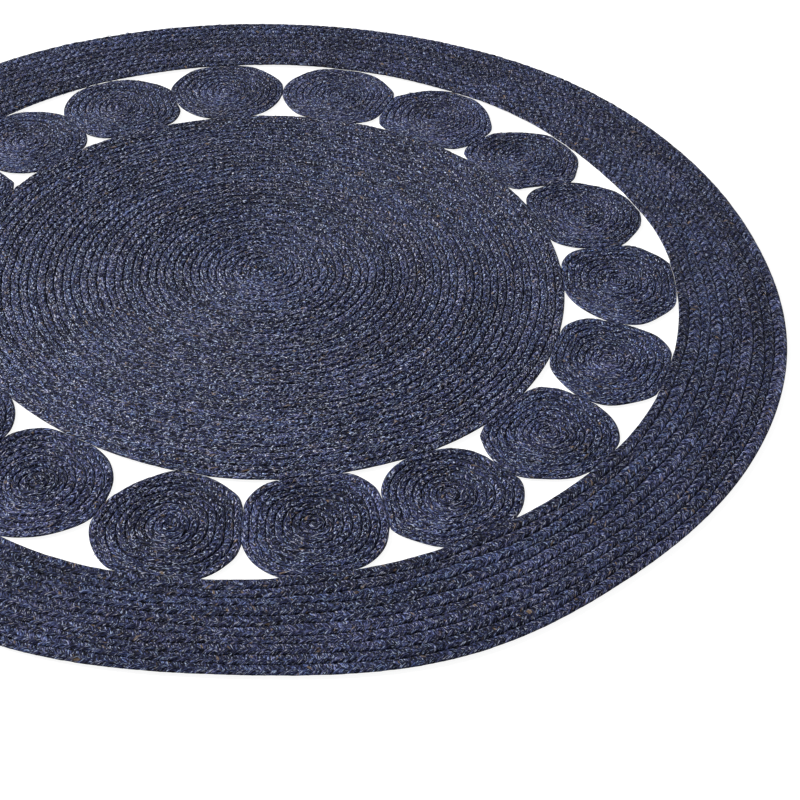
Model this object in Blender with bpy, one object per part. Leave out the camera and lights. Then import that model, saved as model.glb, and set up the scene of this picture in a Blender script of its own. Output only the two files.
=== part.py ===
"""Round braided rug, lying flat on a floor.

A wound disc in the middle, a ring of eighteen small wound mats pressed together round it, and a wide border
of ten rows. Every piece is one long plait wound edge to edge and stitched, so each solid has a flat underside
and one raised ridge for each row of the plait. Metres, +Z up, the underside at z = 0.
"""
import math
from collections import namedtuple

import bmesh
import bpy

MM = 0.001
PIECE_GAP = 0.0003

# How a wound plait ends: its last (and in a ring its first) stretch thins out over this share of a turn.
TAPER = 0.3

# A wound piece: turns of the plait, flat sides in a turn, inner turns with half as many sides, and heights.
Winding = namedtuple("Winding", "turns sides plain_turns crest groove")
DISC = Winding(turns=37, sides=36, plain_turns=10, crest=8.5 * MM, groove=6.2 * MM)
MAT = Winding(turns=9, sides=16, plain_turns=3, crest=7.5 * MM, groove=5.6 * MM)
BORDER = Winding(turns=11, sides=72, plain_turns=0, crest=9.5 * MM, groove=6.8 * MM)

DISC_START = -175.0
BORDER_START = 115.0
DISC_COLOUR = (0.034, 0.038, 0.078)
MAT_COLOUR = (0.030, 0.034, 0.072)
BORDER_COLOUR = (0.036, 0.042, 0.082)
ROUGHNESS = 0.9

# One row for each small mat, in degrees and millimetres. `turn` and `centre` place its middle. The eight
# reaches run from the middle to its edge before it is pressed: outwards, then every 45 degrees anticlockwise,
# so the fifth is towards the disc. `seam_in` and `seam_out` are where the contact with the next mat begins
# and ends. The last three are the radii of the disc's edge and of the border's two edges at that seam.
Mat = namedtuple("Mat", "turn centre out out_left left in_left inner in_right right out_right "
                        "seam_in seam_out disc_edge border_in border_out")
MATS = (
    Mat(-163.2, 619, 112, 110, 114, 112, 114, 111, 115, 111, -153.4, -153.6, 522, 727, 902),
    Mat(-143.4, 620, 112, 110, 115, 107, 112, 110, 115, 109, -133.7, -134.0, 515, 731, 907),
    Mat(-123.7, 617, 123, 114, 119, 110, 113, 117, 117, 108, -112.9, -113.5, 516, 736, 904),
    Mat(-103.1, 628, 116, 114, 116, 109, 116, 104, 116, 118, -94.0, -93.7, 523, 724, 892),
    Mat(-84.0, 620, 112, 110, 118, 119, 114, 111, 116, 116, -73.1, -74.5, 524, 718, 909),
    Mat(-64.5, 624, 112, 110, 114, 102, 110, 102, 116, 108, -55.6, -54.7, 532, 714, 897),
    Mat(-44.6, 616, 112, 109, 116, 109, 112, 109, 116, 101, -34.4, -35.2, 530, 717, 900),
    Mat(-24.3, 621, 112, 108, 116, 111, 110, 104, 118, 108, -14.5, -15.4, 524, 719, 903),
    Mat(-4.3, 623, 112, 115, 118, 116, 110, 106, 120, 107, 5.5, 5.7, 523, 723, 897),
    Mat(15.6, 615, 116, 100, 109, 119, 114, 110, 114, 104, 26.9, 24.8, 527, 715, 902),
    Mat(35.3, 612, 118, 98, 106, 113, 112, 111, 118, 110, 45.3, 44.4, 527, 723, 911),
    Mat(55.3, 612, 120, 110, 118, 115, 113, 116, 116, 107, 65.8, 65.6, 521, 722, 904),
    Mat(75.5, 617, 112, 109, 114, 111, 113, 114, 116, 109, 86.2, 86.0, 517, 720, 898),
    Mat(96.3, 616, 114, 112, 118, 112, 114, 106, 114, 109, 106.9, 106.7, 515, 721, 900),
    Mat(117.0, 615, 116, 112, 119, 115, 114, 116, 119, 111, 127.2, 127.0, 525, 724, 904),
    Mat(136.8, 620, 112, 112, 117, 109, 112, 112, 115, 110, 146.8, 146.9, 529, 722, 900),
    Mat(157.0, 618, 114, 111, 114, 112, 114, 109, 115, 112, 166.9, 166.7, 527, 720, 897),
    Mat(177.0, 620, 113, 108, 115, 111, 112, 113, 116, 108, 186.9, 187.1, 524, 723, 899),
)
REACHES = Mat._fields[Mat._fields.index("out"):Mat._fields.index("out_right") + 1]
REACH_STEP = 360.0 / len(REACHES)
SEAM_INNER_RADIUS = 570.0 * MM
SEAM_OUTER_RADIUS = 648.0 * MM
ALONG_THE_WALL = 1e-6


def clear_scene():
    """Take away whatever the scene holds."""
    for item in list(bpy.data.objects):
        bpy.data.objects.remove(item, do_unlink=True)


def yarn(name, colour):
    """A matt fibre material of one colour."""
    material = bpy.data.materials.new(name)
    material.use_nodes = True
    shader = material.node_tree.nodes["Principled BSDF"]
    shader.inputs["Base Color"].default_value = (*colour, 1.0)
    shader.inputs["Roughness"].default_value = ROUGHNESS
    shader.inputs["Metallic"].default_value = 0.0
    return material


def around(angle, radius):
    """The point at an angle in degrees and a radius from the rug's middle."""
    return (radius * math.cos(math.radians(angle)), radius * math.sin(math.radians(angle)))


def smooth_between(values, place):
    """Read a closed list of values at a fractional place, along a smooth curve through them."""
    step = math.floor(place)
    part = place - step
    before, here, after, beyond = (values[(step + shift) % len(values)] for shift in (-1, 0, 1, 2))
    bend = 2 * before - 5 * here + 4 * after - beyond
    twist = 3 * here - before - 3 * after + beyond
    return here + 0.5 * part * (after - before + part * (bend + part * twist))


def seam_angle(index):
    """The middle angle of the seam after a mat; indices run on past one turn."""
    lap, row = divmod(index, len(MATS))
    return 0.5 * (MATS[row].seam_in + MATS[row].seam_out) + 360.0 * lap


def edge_points(column, sides):
    """Corners of a closed edge, as angle and radius: as many between any two seams, evenly spread."""
    each = sides // len(MATS)
    radii = [getattr(mat, column) * MM for mat in MATS]
    corners = []
    for index in range(len(MATS)):
        start, end = seam_angle(index - 1), seam_angle(index)
        for side in range(each):
            share = (side + 0.5) / each
            corners.append((start + (end - start) * share, smooth_between(radii, index - 1 + share)))
    return corners


def turned_to(corners, start):
    """The same corners with angles counted up from the first one after the start angle."""
    lifted = [(start + (angle - start) % 360.0, radius) for angle, radius in corners]
    return sorted(lifted)


def line_reach(origin, heading, first, second, gap):
    """How far a ray runs before it comes within the gap of the line through two points."""
    along_x, along_y = second[0] - first[0], second[1] - first[1]
    length = math.hypot(along_x, along_y)
    normal = (along_y / length, -along_x / length)
    distance = (first[0] - origin[0]) * normal[0] + (first[1] - origin[1]) * normal[1]
    if distance < 0:
        distance, normal = -distance, (-normal[0], -normal[1])
    closing = heading[0] * normal[0] + heading[1] * normal[1]
    return (distance - gap) / closing if closing > ALONG_THE_WALL else math.inf


def seam_line(index):
    """Two points on the contact line between a mat and the next."""
    mat = MATS[index % len(MATS)]
    return around(mat.seam_in, SEAM_INNER_RADIUS), around(mat.seam_out, SEAM_OUTER_RADIUS)


def mat_walls(index, disc_edge, border_edge):
    """The straight lines that one mat is pressed against, each with the gap it keeps."""
    per_disc = len(disc_edge) // len(MATS)
    per_border = len(border_edge) // len(MATS)
    walls = [(*seam_line(index - 1), PIECE_GAP / 2), (*seam_line(index), PIECE_GAP / 2)]
    first = index * per_disc
    walls.append((around(*disc_edge[first]), around(*disc_edge[first + 1]), PIECE_GAP))
    for step in range(-1, per_border):
        here = border_edge[index * per_border + step]
        after = border_edge[(index * per_border + step + 1) % len(border_edge)]
        walls.append((around(*here), around(*after), PIECE_GAP))
    return walls


def mat_edge(index, disc_edge, border_edge):
    """Centre of a small mat, and its corners as angle and reach: its free shape pressed against its walls."""
    mat = MATS[index]
    centre = around(mat.turn, mat.centre * MM)
    free = [getattr(mat, name) * MM for name in REACHES]
    walls = mat_walls(index, disc_edge, border_edge)
    corners = []
    for side in range(MAT.sides):
        angle = 360.0 * (side + 0.5) / MAT.sides
        heading = around(mat.turn + angle, 1.0)
        pressed = [line_reach(centre, heading, *wall) for wall in walls]
        corners.append((mat.turn + angle, min(smooth_between(free, angle / REACH_STEP), *pressed)))
    return centre, corners


def row_share(turn, turns, hollow):
    """Where a groove lies between the inner edge (0) and the outer edge (1), after so many turns."""
    part = turn % 1.0
    thinning = (1.0 - TAPER) / TAPER
    outer = turns - 1 + min(part, (1.0 - part) * thinning)
    inner = max(part, 1.0 - part * thinning) if hollow else 0.0
    return min(max((turn - inner) / (outer - inner), 0.0), 1.0)


def wound_rails(shape, winding, centre, outer, inner):
    """Place the grooves and the crests of the spiral; returns two dictionaries by step along the plait.

    The rows of a piece with no hole grow rounder towards its middle.
    """
    sides, last = winding.sides, winding.sides * winding.turns
    mean_reach = sum(reach for _, reach in outer) / sides

    def point(step, share, height):
        angle, reach = outer[step % sides]
        start = inner[step % sides][1] if inner else 0.0
        if not inner:
            reach = mean_reach + (reach - mean_reach) * share
        x, y = around(angle, start + (reach - start) * share)
        return shape.verts.new((centre[0] + x, centre[1] + y, height))

    shares = [row_share(step / sides, winding.turns, bool(inner)) for step in range(last)]
    plain = winding.plain_turns * sides
    grooves, crests = {}, {}
    for step in range(last):
        if step % 2 and step < plain:
            continue
        if inner and step == sides:
            grooves[step] = grooves[0]
            continue
        height = winding.crest if step == 0 and not inner else winding.groove
        grooves[step] = point(step, shares[step], height)
    grooves[last] = grooves[last - sides]
    for step in range(sides + 1, last):
        if step % 2 and step - sides < plain:
            continue
        low, high = shares[step - sides], shares[step]
        fullness = min(1.0, (high - low) * (winding.turns - 1))
        height = winding.groove + (winding.crest - winding.groove) * fullness
        crests[step] = point(step, (low + high) / 2, height)
    crests[last] = grooves[last]
    return grooves, crests


def add_face(shape, corners):
    """Make a face from the corners, leaving out any that come twice."""
    kept = list(dict.fromkeys(corners))
    if len(kept) > 2:
        shape.faces.new(kept)


def skin_rows(shape, winding, grooves, crests):
    """Cover each row with faces from its inner groove up to its crest, and down to its outer groove."""
    sides, last = winding.sides, winding.sides * winding.turns
    step = sides
    while step < last:
        fine = step - sides >= winding.plain_turns * sides
        stride = 1 if fine else 2
        reach = range(step, step + stride + 1)
        ridge = [crests[place] for place in reach if place in crests]
        low = [grooves[place - sides] for place in reach if place - sides in grooves]
        high = [grooves[place] for place in reach if place in grooves]
        add_face(shape, low + ridge[::-1])
        add_face(shape, ridge + high[::-1])
        step += stride
    first_crest = crests[min(crests)]
    add_face(shape, [grooves[0], first_crest, grooves[sides]])


def close_below(shape, loops):
    """Take the edge loops straight down to the floor and close the underside."""
    bottoms = []
    for loop in loops:
        edges = [shape.edges.get((loop[i], loop[(i + 1) % len(loop)])) for i in range(len(loop))]
        made = bmesh.ops.extrude_edge_only(shape, edges=edges)["geom"]
        for corner in (item for item in made if isinstance(item, bmesh.types.BMVert)):
            corner.co.z = 0.0
        bottoms.append([item for item in made if isinstance(item, bmesh.types.BMEdge)])
    if len(bottoms) == 1:
        bmesh.ops.contextual_create(shape, geom=bottoms[0])
    else:
        bmesh.ops.bridge_loops(shape, edges=bottoms[0] + bottoms[1])


def wound_piece(name, winding, material, centre, outer, inner=None):
    """Model one piece from its plait's winding and its edges, and put it in the scene."""
    shape = bmesh.new()
    grooves, crests = wound_rails(shape, winding, centre, outer, inner)
    skin_rows(shape, winding, grooves, crests)
    sides, last = winding.sides, winding.sides * winding.turns
    loops = [[grooves[step] for step in range(last - sides, last)]]
    if inner:
        loops.append([grooves[step] for step in range(sides)])
    else:
        for step in range(2, sides, 2):
            add_face(shape, [grooves[0], grooves[step], grooves[step + 2]])
    close_below(shape, loops)
    bmesh.ops.recalc_face_normals(shape, faces=shape.faces)
    mesh = bpy.data.meshes.new(name)
    shape.to_mesh(mesh)
    shape.free()
    mesh.materials.append(material)
    piece = bpy.data.objects.new(name, mesh)
    bpy.context.collection.objects.link(piece)
    return piece


def middle_of(corners):
    """The middle of the box round a closed edge, which is the rug's origin."""
    xs, ys = zip(*(around(angle, radius) for angle, radius in corners))
    return (min(xs) + max(xs)) / 2, (min(ys) + max(ys)) / 2


def build_rug():
    """Model the disc, the ring of small mats and the border, then centre the whole on the origin."""
    disc_edge = edge_points("disc_edge", DISC.sides)
    border_in = edge_points("border_in", BORDER.sides)
    border_out = edge_points("border_out", BORDER.sides)
    pieces = [
        wound_piece("centre_disc", DISC, yarn("disc_yarn", DISC_COLOUR), (0.0, 0.0),
                    turned_to(disc_edge, DISC_START)),
        wound_piece("border_band", BORDER, yarn("border_yarn", BORDER_COLOUR), (0.0, 0.0),
                    turned_to(border_out, BORDER_START), turned_to(border_in, BORDER_START)),
    ]
    for index in range(len(MATS)):
        centre, edge = mat_edge(index, disc_edge, border_in)
        name = f"round_{index + 1:02d}"
        pieces.append(wound_piece(name, MAT, yarn(f"{name}_yarn", MAT_COLOUR), centre, edge))
    middle_x, middle_y = middle_of(border_out)
    for piece in pieces:
        piece.location = (-middle_x, -middle_y, 0.0)


clear_scene()
build_rug()
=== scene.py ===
"""Looks of a round braided rug of navy-dyed jute, lying on a pale studio floor.

The rug is made as a braider makes it. One long flat three-strand plait is wound into the centre disc, finer
ones are wound into the eighteen small mats of the ring, and a broad one is wound into the border. Every plait
is modelled strand by strand: its lobes slant to the middle from both rims, row beside row.
"""
import logging
import math
from dataclasses import dataclass, field
from enum import Enum, IntEnum

import bmesh
import bpy
import numpy as np
from mathutils import Matrix, Vector


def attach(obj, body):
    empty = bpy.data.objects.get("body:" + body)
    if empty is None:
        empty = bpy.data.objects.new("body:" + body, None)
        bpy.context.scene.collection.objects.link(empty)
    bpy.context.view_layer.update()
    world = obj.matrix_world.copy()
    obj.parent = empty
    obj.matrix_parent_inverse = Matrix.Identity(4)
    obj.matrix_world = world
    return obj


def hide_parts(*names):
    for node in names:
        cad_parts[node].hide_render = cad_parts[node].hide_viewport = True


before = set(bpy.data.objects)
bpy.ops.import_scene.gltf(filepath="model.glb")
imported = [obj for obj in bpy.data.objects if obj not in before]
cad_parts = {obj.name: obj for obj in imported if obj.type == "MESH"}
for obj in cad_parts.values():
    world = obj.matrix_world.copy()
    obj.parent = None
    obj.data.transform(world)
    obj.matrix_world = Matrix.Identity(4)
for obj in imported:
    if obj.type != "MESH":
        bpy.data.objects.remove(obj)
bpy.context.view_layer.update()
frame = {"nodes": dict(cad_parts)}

LOG = logging.getLogger("braided_rug")
Rgb = tuple[int, int, int]
MM = 0.001
WHITE = (1.0, 1.0, 1.0, 1.0)
# A CAD corner as low as this lies on the floor, corners that agree to so many digits are one, and a length as
# short as this counts as none.
FLOOR_LEVEL_TOLERANCE = 1e-5
CORNER_DIGITS = 6
SHORTEST = 1e-7
# Samples along a side of a CAD outline, and along a turn of a winding.
SAMPLES_PER_SIDE = 24
SAMPLES_PER_TURN = 720
# The part of a turn over which the end of a plait thins out.
TAPER = 0.3
STRANDS = 3
COLUMNS_PER_LOBE = 4
HALF_LOBE = COLUMNS_PER_LOBE // 2
# The UV maps and the attributes of the wound pieces, which the materials read.
FIBRE_MAP, LOBE_MAP = "fibre_lay", "lobe_place"
TONE, HUE, RISE = "strand_tone", "strand_hue", "strand_rise"


class Rim(Enum):
    """Which edge of a plait a lobe starts from."""

    INNER = 0
    OUTER = 1


class Draw(IntEnum):
    """Which seeded unevenness is read: the number is added to a piece's seed."""

    WANDER = 1
    SPACING = 2
    HEIGHT = 3
    NUDGE = 17
    SLANT = 19
    SWELL = 20
    LOBES = 40
    STRAND_TONE = 50
    STRAND_HUE = 60
    PLAIT_TONE = 70
    PLAIT_HUE = 71


def srgb(red: int, green: int, blue: int) -> tuple[float, float, float, float]:
    """Turn a colour as seen on a screen (0 to 255) into Blender's linear RGBA.

    Args:
        red, green, blue: the colour as a screen shows it.

    Returns:
        Linear red, green, blue and full opacity.
    """
    def linear(value: int) -> float:
        """One channel."""
        share = value / 255.0
        return share / 12.92 if share <= 0.04045 else ((share + 0.055) / 1.055) ** 2.4

    return (linear(red), linear(green), linear(blue), 1.0)


def waver(places: np.ndarray, wavelength: float, seed: int) -> np.ndarray:
    """Read a smooth seeded unevenness, from -1 to 1, at places along a line.

    Args:
        places: distances along the line.
        wavelength: the distance between the random values that are joined smoothly.
        seed: which unevenness; the same seed always gives the same one.

    Returns:
        One value for each place.
    """
    scaled = np.maximum(np.asarray(places) / wavelength, 0.0)
    step = np.floor(scaled).astype(np.int64)
    part = scaled - step
    part = part * part * (3.0 - 2.0 * part)
    values = np.random.default_rng(seed).uniform(-1.0, 1.0, int(step.max()) + 2)
    return values[step] * (1.0 - part) + values[step + 1] * part


def deselect_all() -> None:
    """Leave nothing selected, so that an operator acts on the new piece alone."""
    for item in bpy.context.selected_objects:
        item.select_set(False)


class EdgeLine:
    """A closed edge of a wound piece, read as the distance to it in each direction from a middle point."""

    # How far two pieces interlock where they touch, and the room beside an edge up to which it is pressed
    # against its neighbour and from which it is free.
    INTERLOCK = 0.2 * MM
    PRESSED = 1.2 * MM
    FREE = 4.5 * MM

    def __init__(self, corners: np.ndarray, middle: np.ndarray, room: np.ndarray, toward: np.ndarray) -> None:
        """Draw the edge: round where it is free, and meeting its neighbour where it is pressed.

        Args:
            corners: the edge's corners (n, 2), anticlockwise.
            middle: the point that the directions are measured from.
            room: how far the nearest other piece is from the side after each corner, at the samples along it.
            toward: the direction to that piece, at each sample.
        """
        before, after, beyond = np.roll(corners, 1, 0), np.roll(corners, -1, 0), np.roll(corners, -2, 0)
        share = (np.arange(SAMPLES_PER_SIDE) / SAMPLES_PER_SIDE)[None, :, None]
        here, after, before, beyond = (line[:, None, :] for line in (corners, after, before, beyond))
        straight = here + (after - here) * share
        bend = 2 * before - 5 * here + 4 * after - beyond
        twist = 3 * here - before - 3 * after + beyond
        smooth = here + 0.5 * share * (after - before + share * (bend + share * twist))
        swell = smooth - straight
        length = np.maximum(np.linalg.norm(swell, axis=2), SHORTEST)
        swell = swell * np.minimum(1.0, room / 2 / length)[:, :, None]
        pressed = np.clip((self.FREE - room) / (self.FREE - self.PRESSED), 0.0, 1.0)[:, :, None]
        meeting = toward * (room / 2 + self.INTERLOCK)[:, :, None]
        swell = swell * (1.0 - pressed) + meeting * pressed
        points = (straight + swell).reshape(-1, 2) - middle
        self.angles = np.degrees(np.unwrap(np.arctan2(points[:, 1], points[:, 0])))
        self.reaches = np.hypot(points[:, 0], points[:, 1])
        self.mean = float(self.reaches.mean())

    def reach(self, angle: np.ndarray) -> np.ndarray:
        """The distance from the middle point to the edge, for angles in degrees."""
        return np.interp(angle, self.angles, self.reaches, period=360.0)


class CadEdges:
    """The floor outlines of all the CAD pieces, from which the visual pieces take their edges."""

    def __init__(self, nodes: dict[str, bpy.types.Object]) -> None:
        """Read each node's corners on the floor; the border has an inner and an outer ring of them.

        Args:
            nodes: the CAD objects by name.
        """
        self.rings: dict[str, np.ndarray] = {}
        for name, item in nodes.items():
            places = np.array([vertex.co for vertex in item.data.vertices])
            low = places[places[:, 2] < FLOOR_LEVEL_TOLERANCE][:, :2]
            corners = np.unique(low.round(CORNER_DIGITS), axis=0)
            if name == "border_band":
                distance = np.hypot(corners[:, 0], corners[:, 1])
                limit = (distance.min() + distance.max()) / 2
                self.rings["border_inner"] = self.sorted_round(corners[distance < limit])
                self.rings["border_outer"] = self.sorted_round(corners[distance > limit])
            else:
                self.rings[name] = self.sorted_round(corners)

    @staticmethod
    def sorted_round(corners: np.ndarray) -> np.ndarray:
        """Put corners in anticlockwise order round their mean."""
        centred = corners - corners.mean(0)
        return corners[np.argsort(np.arctan2(centred[:, 1], centred[:, 0]))]

    def centre(self, name: str) -> np.ndarray:
        """The centre of gravity of the flat area inside a ring of corners."""
        x, y = self.rings[name].T
        next_x, next_y = np.roll(x, -1), np.roll(y, -1)
        cross = x * next_y - next_x * y
        return np.array([((x + next_x) * cross).sum(), ((y + next_y) * cross).sum()]) / (3 * cross.sum())

    def area(self, name: str) -> float:
        """The flat area inside a ring of corners, in square metres."""
        x, y = self.rings[name].T
        return float((x * np.roll(y, -1) - np.roll(x, -1) * y).sum() / 2)

    def surroundings(self, name: str) -> tuple[np.ndarray, np.ndarray]:
        """Find the nearest other piece from samples along a ring's sides.

        Args:
            name: the ring.

        Returns:
            The distance to that piece and the direction to it, for each side and each sample along it.
        """
        own = self.rings[name]
        shares = (np.arange(SAMPLES_PER_SIDE) / SAMPLES_PER_SIDE)[None, :, None]
        probes = own[:, None, :] + (np.roll(own, -1, 0) - own)[:, None, :] * shares
        others = [ring for other, ring in self.rings.items() if other != name]
        begin = np.concatenate(others)
        side = np.concatenate([np.roll(ring, -1, 0) for ring in others]) - begin
        away = probes[:, :, None, :] - begin
        part = np.clip((away * side).sum(3) / (side * side).sum(1), 0.0, 1.0)
        away = side * part[..., None] - away
        distance = np.linalg.norm(away, axis=3)
        nearest = distance.argmin(2)[:, :, None]
        room = np.take_along_axis(distance, nearest, 2)
        toward = np.take_along_axis(away, nearest[..., None], 2)[:, :, 0] / room
        return room[:, :, 0], toward

    def line(self, name: str, middle: np.ndarray) -> EdgeLine:
        """The smooth edge of a ring, as seen from a middle point."""
        return EdgeLine(self.rings[name], middle, *self.surroundings(name))


@dataclass(frozen=True)
class Plait:
    """A flat plait of three strands, as the braider lays it.

    Attributes:
        repeat: the distance from one lobe to the next along a rim.
        crest: the height of the strands' tops over the floor.
        waist: the height from which the lobes rise.
        groove: the height of the bottom of the groove between two rows.
        slant: how far a lobe runs along the plait for each step that it runs across.
        crease: how deep the creases between lobes are, as a share of the height over the waist.
        rim: how high the lobes still are at a free rim, as a share of the height over the waist.
        sway: how far the middle line swings where strands cross, as a share of half the width.
        wander: how far a row's edge wanders, as a share of the row's width.
        unevenness: how much the lobes differ in height, as a share of it.
    """

    repeat: float
    crest: float
    waist: float
    groove: float
    slant: float
    crease: float
    rim: float
    sway: float = 0.24
    wander: float = 0.07
    unevenness: float = 0.24


# Round the plait: the places across it, from -1 at the inner rim to 1 at the outer, how high each is between
# a rim (0) and the strands' tops (1), and how much of the sway it takes part in. The first seven run over the
# top, the eighth is the middle of the underside, and the ninth is the first again.
ACROSS = np.array([-1.0, -0.8, -0.4, 0.0, 0.4, 0.8, 1.0, 0.0, -1.0])
PROFILE = np.array([0.0, 0.7, 1.0, 0.83, 1.0, 0.7, 0.0, 0.0, 0.0])
SWAY = np.array([0.0, 0.2, 0.7, 1.0, 0.7, 0.2, 0.0, 0.0, 0.0])
BY_INNER_RIM, MIDDLE, BY_OUTER_RIM, UNDERSIDE = 1, 3, 5, 7
# Along a lobe: where its four columns and its end lie, how full it is at each column, and which way the
# crossing swings there. The columns stand close to the creases, so these are narrow and the lobes plump.
ALONG = np.array([0.0, 0.17, 0.5, 0.83, 1.0])
FULLNESS = np.array([0.0, 0.90, 1.0, 0.82])
SWING = np.array([-1.0, 0.0, 1.0, 0.0])


@dataclass(frozen=True)
class Variation:
    """How much the tone or the hue of the dye varies over a wound piece, which is 0.5 in the mean.

    Attributes:
        lobe: how much, from lobe to lobe.
        plait, plait_length: how much along the plait, and over what length of it.
        strand, strand_length: the same along each strand.
        plait_draw, strand_draw: which seeded unevenness each of them is.
    """

    lobe: float
    plait: float
    plait_length: float
    strand: float
    strand_length: float
    plait_draw: Draw
    strand_draw: Draw


TONE_VARIATION = Variation(lobe=0.28, plait=0.22, plait_length=0.7, strand=0.16, strand_length=0.23,
                           plait_draw=Draw.PLAIT_TONE, strand_draw=Draw.STRAND_TONE)
HUE_VARIATION = Variation(lobe=0.25, plait=0.25, plait_length=0.9, strand=0.25, strand_length=0.41,
                          plait_draw=Draw.PLAIT_HUE, strand_draw=Draw.STRAND_HUE)


@dataclass
class WoundPlait:
    """One plait wound row beside row into a flat piece.

    Attributes:
        name: the piece's name.
        plait: the plait that is wound.
        turns: the turns of the winding.
        start: the direction in which the winding starts, in degrees.
        middle: the point that it is wound round.
        outer: the piece's outer edge.
        inner: the edge of its hole, where it has one.
        first, last: the stretch of the winding that this piece holds, in turns.
        seed: which seeded unevenness the piece has.
        dense, run, half_width: turns in small steps, the plait's length so far, and half the row's width.
        points: the plait's surface, as an array (column, place round the plait, xyz).
    """

    name: str
    plait: Plait
    turns: int
    start: float
    middle: np.ndarray
    outer: EdgeLine
    inner: EdgeLine | None
    first: float
    last: float
    seed: int
    dense: np.ndarray = field(init=False, repr=False)
    run: np.ndarray = field(init=False, repr=False)
    half_width: np.ndarray = field(init=False, repr=False)
    points: np.ndarray = field(init=False, repr=False)

    # How far rows overlap, the longest step between two columns as a share of the repeat, the radius of the
    # winding's heart, how close merged corners are, and how far the underside lifts in a crease.
    OVERLAP = 0.4 * MM
    LONGEST_STEP = 0.33
    HEART = 1.0 * MM
    MERGE = 2e-6
    FLOOR_DIMPLE = 0.5 * MM
    # How full the middle line is, where strands cross, and how much of a free rim's height its lobes notch.
    CROSSING_FULLNESS = 0.5
    EDGE_SERRATION = 0.2
    # Unevenness of a row's edge (a nudge on top of the plait's own wander) and of the lobes' places, slant and
    # height, as shares, with the number of repeats over which each changes; and of the groove, as a length.
    NUDGE, NUDGE_REPEATS = 0.05, 1.1
    WANDER_REPEATS = 6.3
    LOBE_SHIFT, SPACING_REPEATS = 0.22, 1.8
    SLANT_SPREAD, SLANT_REPEATS = 0.3, 3.3
    SWELL, SWELL_REPEATS = 0.05, 9.0
    HEIGHT_REPEATS = 0.8
    GROOVE_UNEVENNESS = 0.3 * MM
    # A row's edge wanders only between the first turn and the last, and in full a third of a turn inside.
    WANDER_FADE = 3.0
    # The fibres' twist in a strand, and how far apart two lobes read their fibres along and across.
    TWIST = 0.22
    LAY_SHIFT = (7.0, 3.0)

    def groove_share(self, turn: np.ndarray) -> np.ndarray:
        """Where a groove lies, from 0 at the inner edge to 1 at the outer, after so many turns.

        The first turn of a ring and the last turn of any piece thin out over the taper.
        """
        turn = np.maximum(turn, 0.0)
        part = np.mod(turn, 1.0)
        thinning = (1.0 - TAPER) / TAPER
        end = self.turns - 1 + np.minimum(part, (1.0 - part) * thinning)
        begin = np.maximum(part, 1.0 - part * thinning) if self.inner else np.zeros_like(part)
        return np.clip((turn - begin) / (end - begin), 0.0, 1.0)

    def wandering(self, turn: np.ndarray) -> np.ndarray:
        """How far a groove strays from its even place, as a share of the way across the piece."""
        begun = np.clip((turn - 1.0) * self.WANDER_FADE, 0.0, 1.0)
        left = np.clip((self.turns - 1.0 - turn) * self.WANDER_FADE, 0.0, 1.0)
        run, repeat = self.travelled(turn), self.plait.repeat
        stray = self.plait.wander * waver(run, self.WANDER_REPEATS * repeat, self.seed + Draw.WANDER)
        stray = stray + self.NUDGE * waver(run, self.NUDGE_REPEATS * repeat, self.seed + Draw.NUDGE)
        return begun * left * stray / (self.turns - 1)

    def distance(self, turn: np.ndarray, share: np.ndarray) -> np.ndarray:
        """How far from the middle point a share of the way across lies, in a groove's direction."""
        angle = self.start + 360.0 * turn
        reach = self.outer.reach(angle)
        if self.inner:
            begin = self.inner.reach(angle)
            return begin + (reach - begin) * share
        return (self.outer.mean + (reach - self.outer.mean) * share) * share

    def measure(self) -> None:
        """Work out how far the plait has run, and how wide its row is, after so many turns."""
        count = int(self.turns * SAMPLES_PER_TURN)
        self.dense = np.linspace(1.0 if self.inner else 0.0, self.turns, count)
        low, high = self.groove_share(self.dense - 1.0), self.groove_share(self.dense)
        far, near = self.distance(self.dense, high), self.distance(self.dense, low)
        angle = np.radians(self.start + 360.0 * self.dense)
        path = ((far + near) / 2)[:, None] * np.stack([np.cos(angle), np.sin(angle)], 1)
        steps = np.hypot(*np.diff(path, axis=0).T)
        self.run = np.concatenate([[0.0], np.cumsum(steps)])
        self.half_width = np.maximum(far - near, 0.0) / 2

    def travelled(self, turn: np.ndarray) -> np.ndarray:
        """The length of plait laid after so many turns."""
        return np.interp(turn, self.dense, self.run)

    def place_columns(self) -> tuple[np.ndarray, np.ndarray]:
        """Number the columns of the piece's stretch, four to each lobe.

        Returns:
            The columns' numbers from the start of the winding, and the length of plait at each.
        """
        spacing = self.plait.repeat / COLUMNS_PER_LOBE
        first = int(round(float(self.travelled(np.array(self.first))) / spacing))
        last = int(round(float(self.travelled(np.array(self.last))) / spacing))
        columns = np.arange(first, last + 1)
        even = columns * spacing
        uneven = waver(even, self.SPACING_REPEATS * self.plait.repeat, self.seed + Draw.SPACING)
        shifted = even + self.LOBE_SHIFT * self.plait.repeat * uneven
        shifted[0], shifted[-1] = even[0], min(even[-1], self.run[-1])
        return columns, shifted

    @staticmethod
    def by_rim(values: np.ndarray, columns: np.ndarray) -> np.ndarray:
        """Give each column and place its lobe's value; the outer rim's lobes come half a lobe later.

        Args:
            values: one value for each column of a lobe.
            columns: the columns' numbers.

        Returns:
            The values as an array (column, place round the plait).
        """
        phase, opposite = np.mod(columns, COLUMNS_PER_LOBE), np.mod(columns + HALF_LOBE, COLUMNS_PER_LOBE)
        return np.where(ACROSS[None, :] < 0, values[phase][:, None], values[opposite][:, None])

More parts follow.
